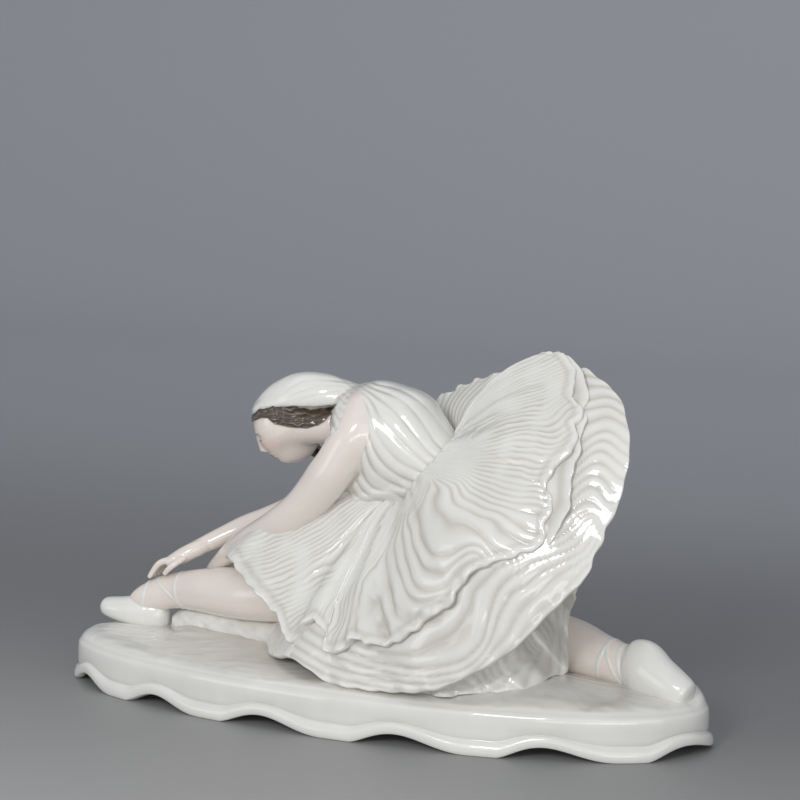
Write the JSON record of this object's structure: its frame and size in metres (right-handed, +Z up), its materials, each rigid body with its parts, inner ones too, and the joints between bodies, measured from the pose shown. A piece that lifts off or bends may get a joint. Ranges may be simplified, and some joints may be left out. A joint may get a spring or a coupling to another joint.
{
  "type": "porcelain figurine",
  "caption": "Glazed white porcelain figurine of a dancer folded forward over one outstretched leg in a fanned pleated skirt, on a low oval plinth with a scalloped foot rim.",
  "frame": {"origin": "under the middle of the plinth, on the plane its feet stand on", "axes": "+Z up, -X towards the toe of the outstretched leg, -Y towards the side the dancer shows"},
  "size_m": [0.3987, 0.1332, 0.2111],
  "materials": {
    "glazed_porcelain": "gloss"
  },
  "bodies": {
    "root": {"ballerina_figurine": "glazed_porcelain"}
  },
  "joints": []
}
